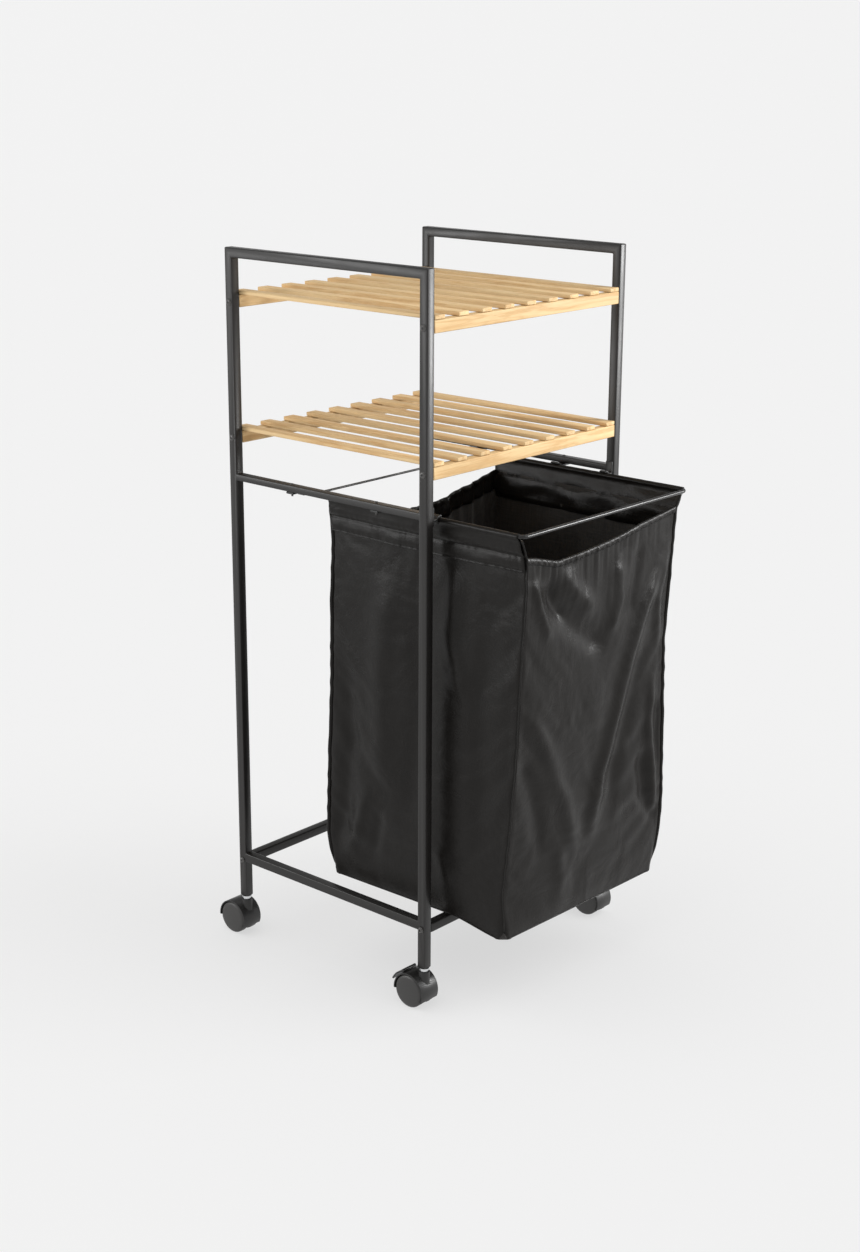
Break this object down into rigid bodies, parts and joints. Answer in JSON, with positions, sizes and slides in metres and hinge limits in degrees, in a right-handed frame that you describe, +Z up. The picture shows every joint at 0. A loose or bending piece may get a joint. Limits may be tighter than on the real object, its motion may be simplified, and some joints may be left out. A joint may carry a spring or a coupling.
{
  "type": "laundry sorter on wheels",
  "caption": "Rolling laundry cart with a black tube frame, slatted wood shelves and a fabric bag that slides out on a wire frame; twin-wheel casters with brake pedals at the front.",
  "frame": {"origin": "on the floor, in the middle of the footprint with the bag pulled half way out", "axes": "+Z up; +X to the right seen from the front; the bag pulls out to the front, towards -Y"},
  "size_m": [0.4024, 0.4998, 0.938],
  "materials": {
    "powder_coat": "satin black powder coat",
    "pine": "pale pine under a thin clear lacquer",
    "black_rod": "gloss black coating",
    "bag_cloth": "black woven polyester with a faint sheen",
    "nylon": "black moulded nylon",
    "caster_plastic": "black moulded plastic",
    "wheel_plastic": "dark grey moulded plastic",
    "zinc": "bright zinc plate",
    "black_steel": "blackened steel"
  },
  "bodies": {
    "frame": {"side_frame_left": "powder_coat", "side_frame_right": "powder_coat", "front_cross_rail": "powder_coat", "rear_cross_rail": "powder_coat", "frame_bolt_front_left": "black_steel", "frame_bolt_front_right": "black_steel", "frame_bolt_rear_left": "black_steel", "frame_bolt_rear_right": "black_steel", "upper_batten_front": "pine", "upper_batten_rear": "pine", "upper_slat_1": "pine", "upper_slat_2": "pine", "upper_slat_3": "pine", "upper_slat_4": "pine", "upper_slat_5": "pine", "upper_slat_6": "pine", "upper_slat_7": "pine", "upper_slat_8": "pine", "upper_slat_9": "pine", "lower_batten_front": "pine", "lower_batten_rear": "pine", "lower_slat_1": "pine", "lower_slat_2": "pine", "lower_slat_3": "pine", "lower_slat_4": "pine", "lower_slat_5": "pine", "lower_slat_6": "pine", "lower_slat_7": "pine", "lower_slat_8": "pine", "lower_slat_9": "pine", "guide_clip_front_left": "nylon", "guide_clip_front_right": "nylon", "guide_clip_rear_left": "nylon", "guide_clip_rear_right": "nylon", "front_hook_left": "nylon", "front_hook_right": "nylon", "caster_stem_front_left": "zinc", "caster_stem_front_right": "zinc", "caster_stem_rear_left": "zinc", "caster_stem_rear_right": "zinc"},
    "bag_carriage": {"bag_frame": "black_rod", "laundry_bag": "bag_cloth"},
    "caster_front_left": {"caster_hood_front_left": "caster_plastic", "axle_front_left": "zinc"},
    "roller_front_left_left": {"wheel_front_left_left": "wheel_plastic"},
    "roller_front_left_right": {"wheel_front_left_right": "wheel_plastic"},
    "brake_front_left": {"brake_pedal_front_left": "caster_plastic"},
    "caster_front_right": {"caster_hood_front_right": "caster_plastic", "axle_front_right": "zinc"},
    "roller_front_right_left": {"wheel_front_right_left": "wheel_plastic"},
    "roller_front_right_right": {"wheel_front_right_right": "wheel_plastic"},
    "brake_front_right": {"brake_pedal_front_right": "caster_plastic"},
    "caster_rear_left": {"caster_hood_rear_left": "caster_plastic", "axle_rear_left": "zinc"},
    "roller_rear_left_left": {"wheel_rear_left_left": "wheel_plastic"},
    "roller_rear_left_right": {"wheel_rear_left_right": "wheel_plastic"},
    "caster_rear_right": {"caster_hood_rear_right": "caster_plastic", "axle_rear_right": "zinc"},
    "roller_rear_right_left": {"wheel_rear_right_left": "wheel_plastic"},
    "roller_rear_right_right": {"wheel_rear_right_right": "wheel_plastic"}
  },
  "joints": [
    {"name": "bag_slide", "type": "slide", "parent": "frame", "child": "bag_carriage", "axis": [0, -1, 0], "range_m": [-0.125, 0.08]},
    {"name": "swivel_front_left", "type": "hinge", "parent": "frame", "child": "caster_front_left", "pos_m": [-0.18565, -0.11597, 0.056], "axis": [0, 0, 1], "continuous": true},
    {"name": "roll_front_left_left", "type": "hinge", "parent": "caster_front_left", "child": "roller_front_left_left", "pos_m": [-0.19515, -0.10178, 0.0222], "axis": [1, 0, 0], "continuous": true},
    {"name": "roll_front_left_right", "type": "hinge", "parent": "caster_front_left", "child": "roller_front_left_right", "pos_m": [-0.17615, -0.10178, 0.0222], "axis": [1, 0, 0], "continuous": true},
    {"name": "brake_front_left", "type": "hinge", "parent": "caster_front_left", "child": "brake_front_left", "pos_m": [-0.18565, -0.09003, 0.04629], "axis": [-1, 0, 0], "range_deg": [0, 9]},
    {"name": "swivel_front_right", "type": "hinge", "parent": "frame", "child": "caster_front_right", "pos_m": [0.18565, -0.11597, 0.056], "axis": [0, 0, 1], "continuous": true},
    {"name": "roll_front_right_left", "type": "hinge", "parent": "caster_front_right", "child": "roller_front_right_left", "pos_m": [0.17615, -0.10178, 0.0222], "axis": [1, 0, 0], "continuous": true},
    {"name": "roll_front_right_right", "type": "hinge", "parent": "caster_front_right", "child": "roller_front_right_right", "pos_m": [0.19515, -0.10178, 0.0222], "axis": [1, 0, 0], "continuous": true},
    {"name": "brake_front_right", "type": "hinge", "parent": "caster_front_right", "child": "brake_front_right", "pos_m": [0.18565, -0.09003, 0.04629], "axis": [-1, 0, 0], "range_deg": [0, 9]},
    {"name": "swivel_rear_left", "type": "hinge", "parent": "frame", "child": "caster_rear_left", "pos_m": [-0.18565, 0.21133, 0.056], "axis": [0, 0, 1], "continuous": true},
    {"name": "roll_rear_left_left", "type": "hinge", "parent": "caster_rear_left", "child": "roller_rear_left_left", "pos_m": [-0.19515, 0.22553, 0.0222], "axis": [1, 0, 0], "continuous": true},
    {"name": "roll_rear_left_right", "type": "hinge", "parent": "caster_rear_left", "child": "roller_rear_left_right", "pos_m": [-0.17615, 0.22553, 0.0222], "axis": [1, 0, 0], "continuous": true},
    {"name": "swivel_rear_right", "type": "hinge", "parent": "frame", "child": "caster_rear_right", "pos_m": [0.18565, 0.21133, 0.056], "axis": [0, 0, 1], "continuous": true},
    {"name": "roll_rear_right_left", "type": "hinge", "parent": "caster_rear_right", "child": "roller_rear_right_left", "pos_m": [0.17615, 0.22553, 0.0222], "axis": [1, 0, 0], "continuous": true},
    {"name": "roll_rear_right_right", "type": "hinge", "parent": "caster_rear_right", "child": "roller_rear_right_right", "pos_m": [0.19515, 0.22553, 0.0222], "axis": [1, 0, 0], "continuous": true}
  ]
}
